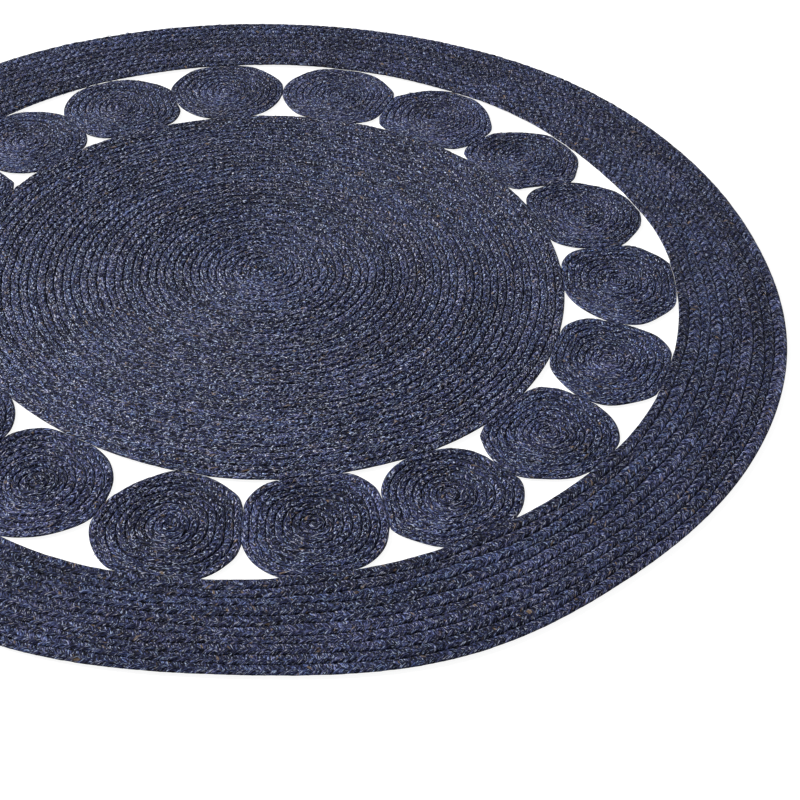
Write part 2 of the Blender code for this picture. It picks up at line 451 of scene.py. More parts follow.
    def lay_out(self, columns: np.ndarray, along: np.ndarray) -> tuple[np.ndarray, np.ndarray, np.ndarray]:
        """Find where every point of the surface lies in the winding.

        Args:
            columns: the columns' numbers.
            along: the length of plait at each column.

        Returns:
            The turn, the share of the way across the piece, and the row's width as such a share, each as an
            array (column, place round the plait).
        """
        plait, across = self.plait, ACROSS[None, :]
        phase = np.mod(columns, COLUMNS_PER_LOBE)
        sideways = across + plait.sway * SWING[phase][:, None] * SWAY[None, :]
        half = np.interp(along, self.run, self.half_width)
        uneven = waver(along, self.SLANT_REPEATS * plait.repeat, self.seed + Draw.SLANT)
        slant = plait.slant * (1.0 + self.SLANT_SPREAD * uneven)
        lag = (slant * half)[:, None] * (np.abs(across) - 0.5)
        crowding = ALONG[:COLUMNS_PER_LOBE] - np.arange(COLUMNS_PER_LOBE) / COLUMNS_PER_LOBE
        crowded = np.where(across == 0, 0.0, self.by_rim(crowding, columns)) * plait.repeat
        ends = np.clip(np.minimum(along - along[0], along[-1] - along) / plait.repeat, 0.0, 1.0)
        turn = np.interp(along[:, None] + (crowded - lag) * ends[:, None], self.run, self.dense)

        low, high = self.groove_share(turn - 1.0), self.groove_share(turn)
        hole = self.inner.mean if self.inner else 0.0
        nominal = self.outer.mean - hole
        radius = nominal * high + hole + self.HEART
        # A straight step between two columns cuts inside the row's curve, so rows overlap by that much more.
        overlap = (self.OVERLAP + (plait.repeat * self.LONGEST_STEP) ** 2 / (8.0 * radius)) / nominal
        overlap_in = np.where(low > 0.0, overlap, 0.0)
        overlap_out = np.where(high < 1.0, overlap, 0.0)
        low = low + self.wandering(turn - 1.0)
        high = high + self.wandering(turn)
        width = np.maximum(high - low, 0.0)
        share = low + width * (sideways + 1.0) / 2
        share = share - np.where(across == -1.0, np.minimum(overlap_in, width), 0.0)
        share = share + np.where(across == 1.0, np.minimum(overlap_out, width), 0.0)
        return turn, share, width

    def surface(self, columns: np.ndarray, along: np.ndarray) -> tuple[np.ndarray, np.ndarray]:
        """Place every point of the plait's surface.

        Args:
            columns: the columns' numbers.
            along: the length of plait at each column.

        Returns:
            Points as an array (column, place round the plait, xyz), and the rise over the waist as a share.
        """
        plait, across = self.plait, ACROSS[None, :]
        turn, share, width = self.lay_out(columns, along)
        reach = self.distance(turn, np.clip(share, 0.0, 1.0))
        angle = np.radians(self.start + 360.0 * turn)

        fullness = np.sqrt(np.clip(width * (self.turns - 1), 0.0, 1.0))
        lobe = np.where(across == 0, self.CROSSING_FULLNESS, self.by_rim(FULLNESS, columns))
        at_rim = np.abs(across) == 1.0
        free = at_rim & ((share <= 0.0) | (share >= 1.0))
        lobe = np.where(free, 1.0 - self.EDGE_SERRATION * (1.0 - lobe), lobe)
        height_length = self.HEIGHT_REPEATS * plait.repeat
        seeds = [self.seed + Draw.HEIGHT + place for place in range(len(ACROSS))]
        uneven = np.stack([waver(along, height_length, seed) for seed in seeds], 1)
        swell = waver(along, self.SWELL_REPEATS * plait.repeat, self.seed + Draw.SWELL)[:, None]
        profile = plait.rim + (1.0 - plait.rim) * PROFILE[None, :]
        rise = profile * (1.0 - plait.crease * (1.0 - lobe))
        rise = rise * (1.0 + plait.unevenness * uneven + self.SWELL * swell)
        height = plait.waist + (plait.crest - plait.waist) * rise * fullness
        meeting = at_rim & ~free
        groove = plait.waist + (plait.groove - plait.waist + self.GROOVE_UNEVENNESS * uneven) * fullness
        height = np.where(meeting, groove, height)
        # A rim that meets the next row takes the groove's rise, so the painted shade there is as dark as the
        # groove.
        rise = np.where(meeting, (plait.groove - plait.waist) / (plait.crest - plait.waist), rise)
        dimple = self.FLOOR_DIMPLE * (1.0 - FULLNESS[np.mod(columns, COLUMNS_PER_LOBE)])
        height[:, UNDERSIDE] = dimple + plait.waist * (1.0 - fullness[:, UNDERSIDE])
        height[:, -1] = height[:, 0]
        flat = (self.middle[0] + reach * np.cos(angle), self.middle[1] + reach * np.sin(angle))
        points = np.stack([*flat, height], 2)
        points[:, -1] = points[:, 0]
        return points, np.clip(rise, 0.0, 1.0)

    def build(self) -> bpy.types.Object:
        """Model the piece: a flat strip is laid out, rolled into the plait's surface, wound, and sewn shut.

        Returns:
            The finished mesh object.
        """
        self.measure()
        columns, along = self.place_columns()
        self.points, rise = self.surface(columns, along)
        strips, round_it = len(columns) - 1, len(ACROSS) - 1
        deselect_all()
        bpy.ops.mesh.primitive_grid_add(x_subdivisions=strips, y_subdivisions=round_it, size=1.0)
        piece = bpy.context.object
        piece.name = piece.data.name = self.name
        mesh = piece.data
        flat = np.empty(len(mesh.vertices) * 3)
        mesh.vertices.foreach_get("co", flat)
        flat = flat.reshape(-1, 3)
        column = np.rint((flat[:, 0] + 0.5) * strips).astype(int)
        place = np.rint((flat[:, 1] + 0.5) * round_it).astype(int)
        mesh.vertices.foreach_set("co", self.points[column, place].ravel())
        self.lay_fibres(mesh, column, place, columns, along)
        # The rise is stored so that the material paints shade into the creases and grooves.
        layer = mesh.attributes.new(RISE, "FLOAT", "POINT")
        layer.data.foreach_set("value", rise[column, place].astype(np.float32))
        self.sew_shut(piece)
        return piece

    def vary(self, variation: Variation, chance: np.ndarray, here: np.ndarray,
             strand: np.ndarray) -> np.ndarray:
        """Read how the dye's tone or hue varies.

        Args:
            variation: how much it varies.
            chance: each face's random number from 0 to 1, the same all over a lobe.
            here: the length of plait at each face.
            strand: which strand each face belongs to.

        Returns:
            A value from 0 to 1 for each face.
        """
        seed = self.seed + variation.plait_draw
        value = 0.5 + variation.lobe * (chance - 0.5) * 2.0
        value = value + variation.plait * waver(here, variation.plait_length, seed)
        for which in range(STRANDS):
            mine = strand == which
            seed = self.seed + variation.strand_draw + which
            value[mine] += variation.strand * waver(here[mine], variation.strand_length, seed)
        return np.clip(value, 0.0, 1.0)

    def lay_fibres(self, mesh: bpy.types.Mesh, column: np.ndarray, place: np.ndarray,
                   columns: np.ndarray, along: np.ndarray) -> None:
        """Give each lobe its own lay of fibre, tone and hue.

        Args:
            mesh: the laid-out strip.
            column, place: where each vertex lies in the strip.
            columns: the columns' numbers from the start of the winding.
            along: the length of plait at each column.
        """
        corner = np.empty(len(mesh.loops), dtype=np.int64)
        mesh.loops.foreach_get("vertex_index", corner)
        corner_column, corner_place = column[corner].reshape(-1, 4), place[corner].reshape(-1, 4)
        face_column, face_place = corner_column.min(1), corner_place.min(1)
        outer = (face_place >= MIDDLE) & (face_place < UNDERSIDE)
        shifted = columns[face_column] + np.where(outer, HALF_LOBE, 0)
        lobe = np.floor_divide(shifted, COLUMNS_PER_LOBE)
        order = len(Rim) * lobe + np.where(outer, Rim.OUTER.value, Rim.INNER.value)
        random = np.random.default_rng(self.seed + Draw.LOBES).uniform(0.0, 1.0, (3, int(order.max()) + 2))
        strand, here = np.mod(order, STRANDS), along[face_column]
        for label, variation, chance in ((TONE, TONE_VARIATION, random[0]), (HUE, HUE_VARIATION, random[1])):
            layer = mesh.attributes.new(label, "FLOAT", "FACE")
            values = self.vary(variation, chance[order], here, strand)
            layer.data.foreach_set("value", values.astype(np.float32))

        half = np.interp(along[corner_column], self.run, self.half_width)
        stretch = math.hypot(1.0, self.plait.slant)
        length = np.abs(ACROSS[corner_place]) * half * stretch
        step = columns[corner_column] - (lobe * COLUMNS_PER_LOBE - np.where(outer, HALF_LOBE, 0))[:, None]
        inside = np.where(ACROSS[corner_place] == 0, step / COLUMNS_PER_LOBE, ALONG[step])
        breadth = inside * self.plait.repeat / stretch
        breadth = breadth + self.TWIST * length * np.where(outer, 1.0, -1.0)[:, None]
        shift_along, shift_across = self.LAY_SHIFT
        length = length + shift_along * random[2, order][:, None]
        breadth = breadth + shift_across * random[0, order][:, None]
        layer = mesh.uv_layers[0]
        layer.name = FIBRE_MAP
        layer.uv.foreach_set("vector", np.stack([length, breadth], 2).astype(np.float32).ravel())
        # The lobe map gives each place's spot in its lobe, from which the material paints shade round the lobe
        # and raises it.
        layer = mesh.uv_layers.new(name=LOBE_MAP)
        lobe_place = np.stack([inside, np.abs(ACROSS[corner_place])], 2)
        layer.uv.foreach_set("vector", lobe_place.astype(np.float32).ravel())

    def sew_shut(self, piece: bpy.types.Object) -> None:
        """Join the strip's two long edges, close its ends, and shade it with all faces outwards.

        Args:
            piece: the wound strip.
        """
        bpy.ops.object.mode_set(mode="EDIT")
        bpy.ops.mesh.select_all(action="SELECT")
        bpy.ops.mesh.remove_doubles(threshold=self.MERGE)
        bpy.ops.mesh.dissolve_degenerate(threshold=self.MERGE)
        bpy.ops.mesh.select_all(action="SELECT")
        bpy.ops.mesh.fill_holes(sides=0)
        bpy.ops.mesh.select_all(action="SELECT")
        bpy.ops.mesh.normals_make_consistent(inside=False)
        bpy.ops.object.mode_set(mode="OBJECT")
        body = bmesh.new()
        body.from_mesh(piece.data)
        inside_out = body.calc_volume(signed=True) < 0.0
        body.free()
        if inside_out:
            piece.data.flip_normals()
        bpy.ops.object.shade_smooth()


@dataclass
class StrayFibres:
    """Stiff jute fibres that have worked loose and lie across the plaits, each a thin spindle.

    Attributes:
        name: the piece's name.
        every: how many lobes along a plait there are for each fibre.
        seed: which seeded scatter they have.
    """

    name: str
    every: float
    seed: int

    # The greatest thickness and the least share of it, the shortest and longest fibre, how high they arch,
    # how far they turn from their lobe in degrees, and how far in from the rim they start.
    THICKNESS = 1.2 * MM
    THINNEST = 0.6
    LENGTHS = (6.0 * MM, 15.0 * MM)
    ARCH = (0.3 * MM, 1.3 * MM)
    STRAY_ANGLE = 14.0
    INWARD = 0.6
    # Where a fibre's first tip, its two rings and its last tip lie along it, where a ring's three corners lie
    # round it, and the faces between them.
    STATIONS = np.array([0.0, 0.3, 0.7, 1.0])
    SECTION = np.radians([90.0, 210.0, 330.0])
    FACES = (
        (0, 2, 1), (0, 3, 2), (0, 1, 3),
        (1, 2, 5, 4), (2, 3, 6, 5), (3, 1, 4, 6),
        (4, 5, 7), (5, 6, 7), (6, 4, 7),
    )

    def __post_init__(self) -> None:
        """Start with no fibres."""
        self.random = np.random.default_rng(self.seed)
        self.corners: list[np.ndarray] = []

    def scatter(self, points: np.ndarray) -> None:
        """Lay fibres over one wound plait, each roughly along the lobe that it comes from.

        Args:
            points: the plait's surface, as an array (column, place round the plait, xyz).
        """
        count = int(len(points) / COLUMNS_PER_LOBE / self.every)
        column = self.random.integers(0, len(points), count)
        outer = self.random.random(count) < 0.5
        rim, middle = points[column, np.where(outer, BY_OUTER_RIM, BY_INNER_RIM)], points[column, MIDDLE]
        begin = rim + (middle - rim) * self.random.uniform(0.0, self.INWARD, count)[:, None]
        heading = middle - begin
        turned = np.arctan2(heading[:, 1], heading[:, 0])
        turned = turned + np.radians(self.STRAY_ANGLE) * self.random.normal(0.0, 1.0, count)
        ahead = np.stack([np.cos(turned), np.sin(turned), np.zeros(count)], 1)
        aside = np.stack([-ahead[:, 1], ahead[:, 0], np.zeros(count)], 1)
        length = self.random.uniform(*self.LENGTHS, count)
        arch = self.random.uniform(*self.ARCH, count)
        stations = begin[:, None] + (ahead * length[:, None])[:, None] * self.STATIONS[:, None]
        stations[:, :, 2] += arch[:, None] * np.sin(np.pi * self.STATIONS)
        radius = self.THICKNESS / 2 * self.random.uniform(self.THINNEST, 1.0, count)
        ring = aside[:, None] * np.cos(self.SECTION)[:, None]
        ring[:, :, 2] += np.sin(self.SECTION)
        ring = ring * radius[:, None, None]
        first, second = stations[:, 1:2] + ring, stations[:, 2:3] + ring
        self.corners.append(np.concatenate([stations[:, :1], first, second, stations[:, 3:]], 1))

    def build(self) -> bpy.types.Object:
        """Join the fibres into one mesh.

        Returns:
            The finished mesh object.
        """
        corners = np.concatenate(self.corners)
        starts = (np.arange(len(corners)) * corners.shape[1]).tolist()
        faces = [tuple(start + corner for corner in face) for start in starts for face in self.FACES]
        mesh = bpy.data.meshes.new(self.name)
        mesh.from_pydata(corners.reshape(-1, 3).tolist(), [], faces)
        tone = np.repeat(self.random.random(len(corners)), len(self.FACES))
        layer = mesh.attributes.new(TONE, "FLOAT", "FACE")
        layer.data.foreach_set("value", tone.astype(np.float32))
        mesh.shade_smooth()
        piece = bpy.data.objects.new(self.name, mesh)
        bpy.context.scene.collection.objects.link(piece)
        return piece


class NodeBoard:
    """The nodes of one material, added and linked in code."""

    # How rough a streak's finer layers are, and its shift across the strand for each step of shift along it.
    STREAK_ROUGHNESS = 0.62
    SIDE_SHIFT = 0.7

    def __init__(self, name: str) -> None:
        """Start a material that has only its shader."""
        self.material = bpy.data.materials.new(name)
        self.material.use_nodes = True
        self.tree = self.material.node_tree
        self.shader = self.tree.nodes["Principled BSDF"]

    def node(self, kind: str, **settings: object) -> bpy.types.Node:
        """Add a node and set its properties."""
        made = self.tree.nodes.new(kind)
        for key, value in settings.items():
            setattr(made, key, value)
        return made

    def feed(self, target: bpy.types.Node, socket: int | str, source: object) -> None:
        """Link a socket, or set its value."""
        if isinstance(source, bpy.types.NodeSocket):
            self.tree.links.new(source, target.inputs[socket])
        else:
            target.inputs[socket].default_value = source

    def maths(self, operation: str, first: object, second: object = 0.0, third: object = 0.0,
              clamp: bool = False) -> bpy.types.NodeSocket:
        """A sum, product or other operation of up to three values."""
        made = self.node("ShaderNodeMath", operation=operation, use_clamp=clamp)
        for socket, source in enumerate((first, second, third)):
            self.feed(made, socket, source)
        return made.outputs[0]

    def spread(self, value: object, low: float, high: float, least: float = 0.0) -> bpy.types.NodeSocket:
        """Stretch the values from low to high over least to 1."""
        made = self.node("ShaderNodeMapRange", clamp=True)
        for socket, source in enumerate((value, low, high, least, 1.0)):
            self.feed(made, socket, source)
        return made.outputs[0]

    def mix(self, share: object, first: object, second: object, blend: str = "MIX") -> bpy.types.NodeSocket:
        """Blend two colours."""
        made = self.node("ShaderNodeMix", data_type="RGBA", blend_type=blend)
        for socket, source in (("Factor", share), (6, first), (7, second)):
            self.feed(made, socket, source)
        return made.outputs[2]

    def ramp(self, value: object, stops: tuple[tuple[float, Rgb], ...]) -> bpy.types.NodeSocket:
        """Turn a value into a colour between those that are given at places from 0 to 1."""
        made = self.node("ShaderNodeValToRGB")
        elements = made.color_ramp.elements
        for index, (position, colour) in enumerate(stops):
            stop = elements[index] if index < len(elements) else elements.new(position)
            stop.position = position
            stop.color = srgb(*colour)
        self.feed(made, "Fac", value)
        return made.outputs[0]

    def cloud(self, scale: float, detail: float) -> bpy.types.NodeSocket:
        """Noise that is the same in all directions and doesn't follow the plait."""
        made = self.node("ShaderNodeTexNoise", noise_dimensions="3D")
        self.feed(made, "Vector", self.node("ShaderNodeTexCoord").outputs["Object"])
        self.feed(made, "Scale", scale)
        self.feed(made, "Detail", detail)
        return made.outputs[0]

    def streaks(self, along: float, across: float, shift: float, detail: float = 1.0) -> bpy.types.NodeSocket:
        """Streaks of fibre: noise stretched along the strand.

        Args:
            along, across: how often it changes in a metre, along the fibres and across them.
            shift: where it is read, so that two kinds of streak differ.
            detail: how many finer layers of noise it has.

        Returns:
            The noise, from 0 to 1.
        """
        mapping = self.node("ShaderNodeMapping")
        self.feed(mapping, "Vector", self.node("ShaderNodeUVMap", uv_map=FIBRE_MAP).outputs[0])
        self.feed(mapping, "Location", (shift, shift * self.SIDE_SHIFT, 0.0))
        self.feed(mapping, "Scale", (along, across, 1.0))
        made = self.node("ShaderNodeTexNoise", noise_dimensions="2D")
        self.feed(made, "Vector", mapping.outputs[0])
        self.feed(made, "Scale", 1.0)
        self.feed(made, "Detail", detail)
        self.feed(made, "Roughness", self.STREAK_ROUGHNESS)
        return made.outputs[0]

    def value_of(self, label: str) -> bpy.types.NodeSocket:
        """A value that is stored on the mesh."""
        return self.node("ShaderNodeAttribute", attribute_name=label).outputs["Fac"]

    def bump(self, height: object, strength: float, distance: float) -> bpy.types.Node:
        """Raise the surface by a height."""
        made = self.node("ShaderNodeBump")
        for socket, source in (("Strength", strength), ("Distance", distance), ("Height", height)):
            self.feed(made, socket, source)
        return made

    def dress(self, sockets: dict[str, object]) -> bpy.types.Material:
        """Link or set the shader's sockets by name, and return the material."""
        for socket, source in sockets.items():
            self.feed(self.shader, socket, source)
        return self.material


@dataclass(frozen=True)
class StrayFinish:
    """The stray fibres' own colours: thinly dyed, and some hardly at all.

    Attributes:
        name: the material's name.
        dyed, faded, bare, straw: the colours from the commonest to the rarest.
        blotches: how often the dye's strength changes in a metre.
        least: how little of the colour is left in a blotch.
    """

    name: str
    dyed: Rgb = (44, 50, 82)
    faded: Rgb = (92, 102, 138)
    bare: Rgb = (160, 168, 192)
    straw: Rgb = (160, 134, 100)
    blotches: float = 260.0
    least: float = 0.45

    def make(self) -> bpy.types.Material:
        """Build the material's nodes.

        Returns:
            The material.
        """
        board = NodeBoard(self.name)
        stops = ((0.0, self.dyed), (0.70, self.faded), (0.93, self.bare), (0.98, self.straw))
        uneven = board.spread(board.cloud(self.blotches, detail=2.0), 0.35, 0.65, self.least)
        colour = board.mix(1.0, board.ramp(board.value_of(TONE), stops), uneven, "MULTIPLY")
        return board.dress({"Base Color": colour, "Roughness": 0.6, "Specular IOR Level": 0.3})


@dataclass(frozen=True)
class JuteFinish:
    """Navy-dyed jute, with its uneven dye, its fibres and the odd undyed fleck; its colour also holds painted
    glints and painted shade in the creases and grooves.

    Attributes:
        name: the material's name.
        fineness: how many yarns lie side by side in a metre.
        liveliness: how strongly the yarns differ from each other.
        lightness: how light the dye is, from the deepest shade to the brightest.
        painted_glint_strength: how strongly the painted glints show, highlights painted on as bright fibre
            streaks.
        deep, dark, body, pale, bright: the dye from the deepest fibre to the brightest.
        cool, warm: the two hues between which strands differ.
        painted_glint_cool, painted_glint_warm: the painted glints' colours, in the two hues.
        fleck: fibres that the dye missed.
        sheen: the tint of the light that glances off the fibres.
        painted_shade_depth: how much darker the painted shade makes the creases and grooves.
    """

    name: str
    fineness: float
    liveliness: float
    lightness: float
    painted_glint_strength: float
    deep: Rgb = (3, 4, 14)
    dark: Rgb = (10, 11, 30)
    body: Rgb = (27, 30, 60)
    pale: Rgb = (66, 72, 108)
    bright: Rgb = (142, 150, 190)
    cool: Rgb = (206, 232, 255)
    warm: Rgb = (252, 238, 248)
    painted_glint_cool: Rgb = (172, 196, 232)
    painted_glint_warm: Rgb = (208, 204, 216)
    fleck: Rgb = (122, 102, 78)
    sheen: Rgb = (205, 210, 235)
    painted_shade_depth: float = 0.92

    # How much a strand's own tone counts, how strongly a fleck shows, how sharply a lobe falls off at its
    # sides and its ends and how deep at its ends, for its painted shade and its bump, how far the surface is
    # raised, and by what in which shares.
    TONE_WEIGHT = 0.30
    FLECK_STRENGTH = 0.6
    SIDE_FALL, END_FALL, END_DEPTH = 3.2, 6.0, 0.7
    RELIEF = 2.0 * MM
    YARN_RELIEF, FIBRE_RELIEF = 0.65, 0.35

    def make(self) -> bpy.types.Material:
        """Build the material's nodes.

        Returns:
            The material.
        """
        board = NodeBoard(self.name)
        yarns = board.streaks(along=0.19 * self.fineness, across=self.fineness, shift=0.0)
        fibres = board.streaks(along=240.0, across=1.8 * self.fineness, shift=13.0, detail=2.0)
        roundness = self.roundness(board)
        # The colour holds painted glints; the shade is painted shade in the creases and grooves.
        dye, shade = self.dye(board, yarns, fibres), self.shade(board, roundness)
        return board.dress({
            "Base Color": board.mix(1.0, dye, shade, "MULTIPLY"),
            "Roughness": 0.75,
            "Specular IOR Level": 0.14,
            "Sheen Weight": 0.03,
            "Sheen Roughness": 0.5,
            "Sheen Tint": srgb(*self.sheen),
            "Normal": self.relief(board, roundness, yarns, fibres),
        })

    def roundness(self, board: NodeBoard) -> bpy.types.NodeSocket:
        """How far a place is from the creases round its lobe, from 0 in them to 1 on the lobe's back."""
        place = board.node("ShaderNodeSeparateXYZ")
        board.feed(place, 0, board.node("ShaderNodeUVMap", uv_map=LOBE_MAP).outputs[0])
        doubled = (board.maths("MULTIPLY", place.outputs[axis], 2.0) for axis in (0, 1))
        aside, endwise = (board.maths("ABSOLUTE", board.maths("SUBTRACT", value, 1.0)) for value in doubled)
        sides = board.maths("POWER", aside, self.SIDE_FALL)
        ends = board.maths("MULTIPLY", board.maths("POWER", endwise, self.END_FALL), self.END_DEPTH)
        return board.maths("SUBTRACT", 1.0, board.maths("ADD", sides, ends), clamp=True)

    def dye(self, board: NodeBoard, yarns: bpy.types.NodeSocket,
            fibres: bpy.types.NodeSocket) -> bpy.types.NodeSocket:
        """The colour of the dyed fibres with painted glints on them, before the painted shade darkens the
        creases.

        Args:
            board: the material's nodes.
            yarns, fibres: the streaks that the relief shows too.

        Returns:
            The colour.
        """
        bundles = board.streaks(along=60.0, across=self.fineness / 2, shift=3.0)
        tints = board.streaks(along=60.0, across=240.0, shift=71.0)
        painted_glint_streaks = board.streaks(along=0.22 * self.fineness, across=1.1 * self.fineness, shift=31.0)
        flecks = board.streaks(along=50.0, across=170.0, shift=57.0)
        # Each layer of tone: its noise, the values of it that are spread over 0 to 1, and its weight.
        layers = (
            (yarns, 0.42, 0.58, 0.46 * self.liveliness),
            (bundles, 0.36, 0.64, 0.16),
            (fibres, 0.40, 0.60, 0.26 * self.liveliness),
            (board.cloud(scale=9.0, detail=3.0), 0.35, 0.65, 0.12),
        )
        middling = self.lightness - sum(layer[3] for layer in layers) / 2
        light = board.maths("MULTIPLY_ADD", board.value_of(TONE), self.TONE_WEIGHT, middling)
        for noise, low, high, weight in layers:
            light = board.maths("MULTIPLY_ADD", board.spread(noise, low, high), weight, light)
        stops = ((0.0, self.deep), (0.26, self.dark), (0.50, self.body),
                 (0.74, self.pale), (1.0, self.bright))
        own_hue = board.maths("MULTIPLY", board.value_of(HUE), 0.5)
        hue = board.maths("MULTIPLY_ADD", board.spread(tints, 0.36, 0.64), 0.5, own_hue)
        tint = board.mix(hue, srgb(*self.cool), srgb(*self.warm))
        colour = board.mix(1.0, board.ramp(light, stops), tint, "MULTIPLY")
        # Painted glints: highlights painted into the colour as bright fibre streaks.
        painted_glint_colour = board.mix(hue, srgb(*self.painted_glint_cool), srgb(*self.painted_glint_warm))
        painted_glint_share = board.maths("MULTIPLY", board.spread(painted_glint_streaks, 0.63, 0.69), self.painted_glint_strength)
        colour = board.mix(painted_glint_share, colour, painted_glint_colour)
        missed = board.maths("MULTIPLY", board.spread(flecks, 0.73, 0.79), self.FLECK_STRENGTH)
        return board.mix(missed, colour, srgb(*self.fleck))

    def shade(self, board: NodeBoard, roundness: bpy.types.NodeSocket) -> bpy.types.NodeSocket:
        """Painted shade: how much of the colour is left, which is less in the creases and the grooves, where
        shade falls.
        """
        risen = board.spread(board.value_of(RISE), -0.1, 0.5)
        shade = board.maths("MULTIPLY", board.spread(roundness, -0.05, 0.45), risen)
        return board.maths("ADD", board.maths("MULTIPLY", shade, self.painted_shade_depth), 1.0 - self.painted_shade_depth)

    def relief(self, board: NodeBoard, roundness: bpy.types.NodeSocket, yarns: bpy.types.NodeSocket,
               fibres: bpy.types.NodeSocket) -> bpy.types.NodeSocket:
        """The surface's normal: yarns and fibres raised on lobes that are rounded a little more.

        Args:
            board: the material's nodes.
            roundness: how far a place is from the creases round its lobe.
            yarns, fibres: the streaks that are raised.

        Returns:
            The normal.
        """
        swelling = board.bump(board.maths("POWER", roundness, 0.5), strength=0.5, distance=self.RELIEF)
        coarse = board.maths("MULTIPLY", yarns, self.YARN_RELIEF)
        fine = board.maths("MULTIPLY", fibres, self.FIBRE_RELIEF)
        relief = board.bump(board.maths("ADD", coarse, fine), strength=1.0, distance=self.RELIEF)
        board.feed(relief, "Normal", swelling.outputs[0])
        return relief.outputs[0]


@dataclass(frozen=True)
class Viewpoint:
    """Where the photograph was taken from.

    Attributes:
        distance: from the rug's middle to the lens.
        elevation: how high the lens stands, seen from the rug's middle, in degrees.
        yaw, pitch, roll: how the camera is turned away from the rug's middle, in degrees.
        lens, sensor: the focal length and the sensor's width, in millimetres.
        middle: the rug's middle on the floor.
        rim_height: the height of the plaits' rims, which the distance and the elevation are measured from.
        sight: how far the camera sees.
    """

    distance: float = 2.7414
    elevation: float = 36.60
    yaw: float = -4.87
    pitch: float = -4.79
    roll: float = 0.62
    lens: float = 70.09
    sensor: float = 36.0
    middle: tuple[float, float] = (-0.00016, -0.00097)
    rim_height: float = 5.2 * MM
    sight: float = 200.0

    def set_up(self) -> None:
        """Create the camera and make it the scene's."""
        lift = math.radians(self.elevation)
        forward = Vector((0.0, math.cos(lift), -math.sin(lift)))
        right = Vector((1.0, 0.0, 0.0))
        up = right.cross(forward)
        turn, nod, tilt = (math.radians(value) for value in (self.yaw, self.pitch, self.roll))
        turn_cos, turn_sin = math.cos(turn), math.sin(turn)
        nod_cos, nod_sin = math.cos(nod), math.sin(nod)
        tilt_cos, tilt_sin = math.cos(tilt), math.sin(tilt)
        yawed = Matrix(((turn_cos, 0, turn_sin), (0, 1, 0), (-turn_sin, 0, turn_cos)))
        nodded = Matrix(((1, 0, 0), (0, nod_cos, -nod_sin), (0, nod_sin, nod_cos)))
        rolled = Matrix(((tilt_cos, -tilt_sin, 0), (tilt_sin, tilt_cos, 0), (0, 0, 1)))
        to_camera = rolled @ nodded @ yawed @ Matrix((right, up, forward))
        axes = Matrix((to_camera[0], to_camera[1], -to_camera[2])).transposed()
        place = Vector((*self.middle, self.rim_height)) - forward * self.distance
        camera = bpy.data.objects.new("camera", bpy.data.cameras.new("camera"))
        bpy.context.scene.collection.objects.link(camera)
        camera.matrix_world = Matrix.Translation(place) @ axes.to_4x4()
        camera.data.sensor_width = self.sensor
        camera.data.lens = self.lens
        camera.data.clip_end = self.sight
        bpy.context.scene.camera = camera


@dataclass(frozen=True)
class Studio:
    """The plain pale floor and the soft light.

    Attributes:
        floor_size, floor_drop: the floor's width, and how far it lies under the rug.
        floor_colour, floor_glow: how pale the floor is, and how strongly it shines by itself.
        sky: how bright the even pale surround is.
        key_power, key_size, key_place: the soft key light.
    """

    floor_size: float = 60.0
    floor_drop: float = 0.2 * MM
    floor_colour: float = 0.30
    floor_glow: float = 0.90
    sky: float = 0.32
    key_power: float = 3900.0
    key_size: float = 5.0
    key_place: tuple[float, float, float] = (-11.0, 3.2, 8.4)

    def lay_floor(self) -> bpy.types.Object:
        """Add the floor, just under the rug.

        Returns:
            The floor object.
        """
        deselect_all()
        bpy.ops.mesh.primitive_plane_add(size=self.floor_size, location=(0.0, 0.0, -self.floor_drop))
        floor = bpy.context.object
        floor.name = "studio_floor"
        floor.data.materials.append(NodeBoard("studio_floor_paint").dress({
            "Base Color": (self.floor_colour,) * 3 + (1.0,),
            "Roughness": 0.9,
            "Specular IOR Level": 0.1,
            "Emission Color": WHITE,
            "Emission Strength": self.floor_glow,
        }))
        return floor

    def light(self) -> None:
        """Add a soft key light and an even pale surround."""
        world = bpy.data.worlds.new("studio_surround")
        bpy.context.scene.world = world
        world.use_nodes = True
        surround = world.node_tree.nodes["Background"]
        surround.inputs["Color"].default_value = WHITE
        surround.inputs["Strength"].default_value = self.sky
        lamp = bpy.data.lights.new("key_light", "AREA")
        lamp.shape = "DISK"
        lamp.size = self.key_size
        lamp.energy = self.key_power
        key = bpy.data.objects.new("key_light", lamp)
        bpy.context.scene.collection.objects.link(key)
        key.location = self.key_place
        key.rotation_euler = (Vector((0.0, 0.0, 0.0)) - key.location).to_track_quat("-Z", "Y").to_euler()


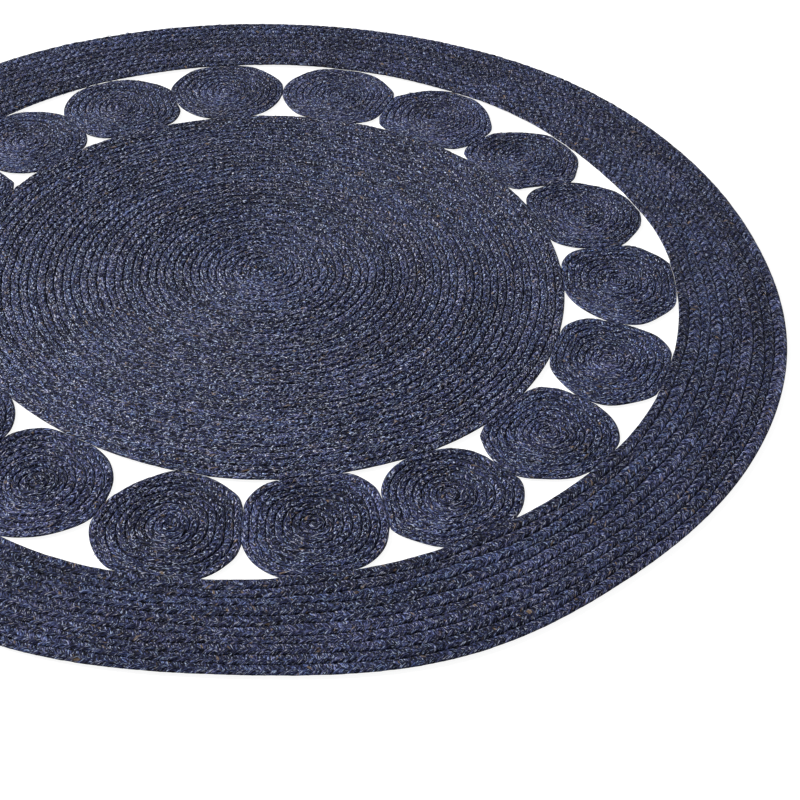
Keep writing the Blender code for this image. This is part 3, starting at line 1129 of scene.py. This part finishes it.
@dataclass
class BraidedRug:
    """The whole rug: the centre disc, the ring of small mats and the border.

    Attributes:
        edges: the CAD pieces' edges.
        disc, mat, border: the three plaits.
        stray: the fibres that have worked loose from them.
    """

    edges: CadEdges
    disc: Plait
    mat: Plait
    border: Plait
    stray: StrayFibres

    # The windings' turns, where the disc's plait is spliced, and the directions in which they start, a mat's
    # measured from the direction in which the mat lies. Each winding has its own seed.
    DISC_TURNS, DISC_SPLICE, DISC_START, DISC_SEED = 37, 27.35, -175.0, 100
    MAT_TURNS, MAT_COUNT, MAT_START, MAT_SEEDS = 9, 18, 11.25, 1000
    BORDER_TURNS, BORDER_START, BORDER_SEED = 11, 117.0, 500

    def make_piece(self, winding: WoundPlait, finish: bpy.types.Material,
                   node: str) -> bpy.types.Object:
        """Wind a piece, dress it, tie it to the frame and let it shed some fibres.

        Args:
            winding: the plait and how it is wound.
            finish: its material.
            node: the CAD node that it stands for.

        Returns:
            The finished piece.
        """
        piece = winding.build()
        piece.data.materials.clear()
        piece.data.materials.append(finish)
        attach(piece, "root")
        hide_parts(node)
        self.stray.scatter(winding.points)
        LOG.info("%s: %d faces, stands for %s", piece.name, len(piece.data.polygons), node)
        return piece

    def build_disc(self, finish: bpy.types.Material) -> None:
        """Wind the centre disc; its plait is spliced once, as a braider joins on a new length."""
        middle = self.edges.centre("centre_disc")
        line = self.edges.line("centre_disc", middle)
        area = self.edges.area("centre_disc")
        stretches = (
            ("wound_disc_inner", 0.0, self.DISC_SPLICE),
            ("wound_disc_outer", self.DISC_SPLICE, self.DISC_TURNS),
        )
        for name, first, last in stretches:
            winding = WoundPlait(name, self.disc, self.DISC_TURNS, self.DISC_START, middle, line, None,
                                 first, last, self.DISC_SEED)
            piece = self.make_piece(winding, finish, "centre_disc")

    def build_mats(self, finish: bpy.types.Material) -> None:
        """Wind the eighteen small mats of the ring."""
        for index in range(1, self.MAT_COUNT + 1):
            node = f"round_{index:02d}"
            middle = self.edges.centre(node)
            start = math.degrees(math.atan2(middle[1], middle[0])) + self.MAT_START
            line = self.edges.line(node, middle)
            winding = WoundPlait(f"wound_mat_{index:02d}", self.mat, self.MAT_TURNS, start, middle, line,
                                 None, 0.0, self.MAT_TURNS, self.MAT_SEEDS * index)
            piece = self.make_piece(winding, finish, node)
            self.edges.area(node)

    def build_border(self, finish: bpy.types.Material) -> None:
        """Wind the wide border round the ring."""
        middle = self.edges.centre("border_outer")
        outer = self.edges.line("border_outer", middle)
        inner = self.edges.line("border_inner", middle)
        winding = WoundPlait("wound_border", self.border, self.BORDER_TURNS, self.BORDER_START, middle, outer,
                             inner, 1.0, self.BORDER_TURNS, self.BORDER_SEED)
        piece = self.make_piece(winding, finish, "border_band")
        area = self.edges.area("border_outer") - self.edges.area("border_inner")

    def lay_stray_fibres(self, finish: bpy.types.Material) -> None:
        """Lay the fibres that the wound pieces have shed, as one mesh."""
        piece = self.stray.build()
        piece.data.materials.append(finish)
        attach(piece, "root")
        LOG.info("%s: %d faces", piece.name, len(piece.data.polygons))


def main() -> None:
    """Build the scene in order: camera, studio, then the rug's pieces."""
    logging.basicConfig(level=logging.INFO, format="%(name)s %(message)s")
    bpy.context.scene.view_settings.view_transform = "Standard"
    Viewpoint().set_up()
    studio = Studio()
    studio.lay_floor()
    studio.light()
    rug = BraidedRug(
        edges=CadEdges(frame["nodes"]),
        disc=Plait(repeat=14.85 * MM, crest=8.5 * MM, waist=5.0 * MM, groove=3.8 * MM,
                   slant=1.8, crease=0.5, rim=0.2),
        mat=Plait(repeat=11.6 * MM, crest=7.5 * MM, waist=4.4 * MM, groove=3.4 * MM,
                  slant=2.0, crease=0.4, rim=0.15),
        border=Plait(repeat=17.0 * MM, crest=9.5 * MM, waist=5.2 * MM, groove=6.0 * MM,
                     slant=1.0, crease=0.9, rim=0.4, wander=0.2),
        stray=StrayFibres("stray_fibres", every=1.5, seed=7),
    )
    disc_jute = JuteFinish("navy_jute_disc", fineness=740.0, liveliness=1.5, lightness=0.155, painted_glint_strength=0.8)
    mat_jute = JuteFinish("navy_jute_mats", fineness=780.0, liveliness=1.25, lightness=0.23, painted_glint_strength=0.65)
    border_jute = JuteFinish("navy_jute_border", fineness=700.0, liveliness=1.1, lightness=0.235, painted_glint_strength=0.5,
                             body=(27, 30, 58), pale=(64, 70, 103))
    rug.build_disc(disc_jute.make())
    rug.build_mats(mat_jute.make())
    rug.build_border(border_jute.make())
    rug.lay_stray_fibres(StrayFinish("stray_jute").make())


if __name__ == "__main__":
    main()
